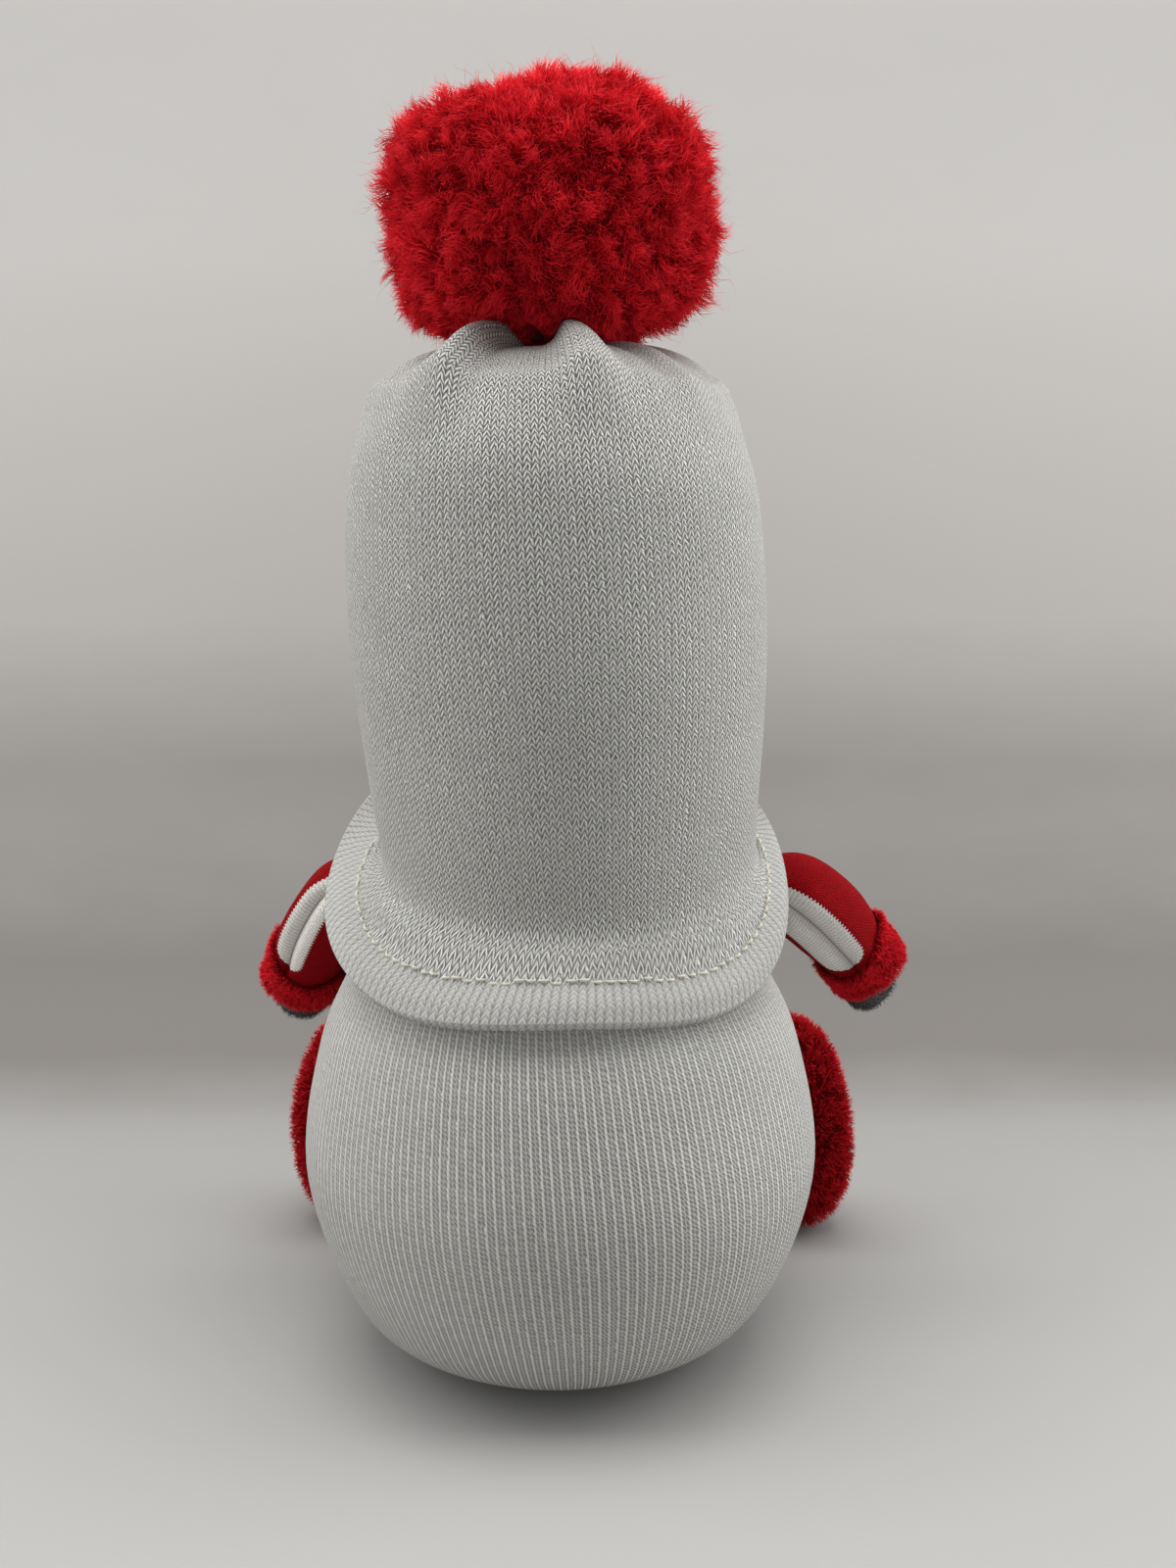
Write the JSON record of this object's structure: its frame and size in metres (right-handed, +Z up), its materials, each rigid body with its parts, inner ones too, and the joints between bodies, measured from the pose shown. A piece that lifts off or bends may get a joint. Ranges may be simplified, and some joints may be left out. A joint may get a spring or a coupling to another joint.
{
  "type": "stuffed gnome",
  "caption": "Stuffed sitting gnome sewn from knitted socks, with a tall white hat under a red fur ball, short red arms and legs with fur boots, and a beard",
  "frame": {"origin": "the middle of the flat seat of the body, on the surface that the figure sits on", "axes": "+Z is up, the figure faces -Y, and its own left hand is on +X"},
  "size_m": [0.18, 0.1581, 0.32],
  "materials": {
    "knit_white": "matte",
    "knit_red": "matte",
    "fur_red": "matte",
    "fur_white": "matte",
    "fleece_grey": "matte",
    "jersey_skin": "matte",
    "fibre_fill": "matte",
    "cotton_thread": "matte",
    "pellets": "matte"
  },
  "bodies": {
    "body": {"body_sock": "knit_white", "body_stuffing": "fibre_fill", "pellet_bag": "pellets", "neck_tie": "cotton_thread", "hat_sock": "knit_white", "hat_stuffing": "fibre_fill", "hem_stitching": "cotton_thread", "crown_thread": "cotton_thread", "nose_cover": "jersey_skin", "nose_stuffing": "fibre_fill", "beard_backing": "fur_white", "beard_pile": "fur_white"},
    "pompom": {"pompom_fur": "fur_red", "pompom_stuffing": "fibre_fill", "pompom_tie": "cotton_thread"},
    "shoulder_left": {"shoulder_pad_left": "knit_red"},
    "arm_left": {"sleeve_left": "knit_red", "sleeve_stuffing_left": "fibre_fill", "cuff_left": "fur_red", "mitten_left": "fleece_grey"},
    "leg_left": {"leg_left": "knit_red", "boot_fur_left": "fur_red", "boot_stuffing_left": "fibre_fill"},
    "shoulder_right": {"shoulder_pad_right": "knit_red"},
    "arm_right": {"sleeve_right": "knit_red", "sleeve_stuffing_right": "fibre_fill", "cuff_right": "fur_red", "mitten_right": "fleece_grey"},
    "leg_right": {"leg_right": "knit_red", "boot_fur_right": "fur_red", "boot_stuffing_right": "fibre_fill"}
  },
  "joints": [
    {"name": "arm_left_swing", "type": "hinge", "parent": "body", "child": "shoulder_left", "pos_m": [0.04336, -0.01148, 0.117], "axis": [0.0905, 0.363, 0.9274], "range_deg": [-20, 11]},
    {"name": "arm_left_lift", "type": "hinge", "parent": "shoulder_left", "child": "arm_left", "pos_m": [0.0519, -0.01361, 0.117], "axis": [0.2244, 0.8998, -0.3741], "range_deg": [-14, 5]},
    {"name": "leg_left", "type": "hinge", "parent": "body", "child": "leg_left", "pos_m": [0.04613, -0.05306, 0.02], "axis": [0.7547, 0.6561, 0], "range_deg": [-15, 35]},
    {"name": "arm_right_swing", "type": "hinge", "parent": "body", "child": "shoulder_right", "pos_m": [-0.04877, -0.01148, 0.117], "axis": [-0.0905, 0.363, 0.9274], "range_deg": [-25, 25]},
    {"name": "arm_right_lift", "type": "hinge", "parent": "shoulder_right", "child": "arm_right", "pos_m": [-0.0573, -0.01361, 0.117], "axis": [-0.2244, 0.8998, -0.3741], "range_deg": [-8, 14]},
    {"name": "leg_right", "type": "hinge", "parent": "body", "child": "leg_right", "pos_m": [-0.05306, -0.04613, 0.02], "axis": [0.6561, -0.7547, 0], "range_deg": [-15, 35]},
    {"name": "pompom_tilt", "type": "hinge", "parent": "body", "child": "pompom", "pos_m": [0.0022, 0, 0.2538], "axis": [0, 1, 0], "range_deg": [-8, 8]}
  ]
}
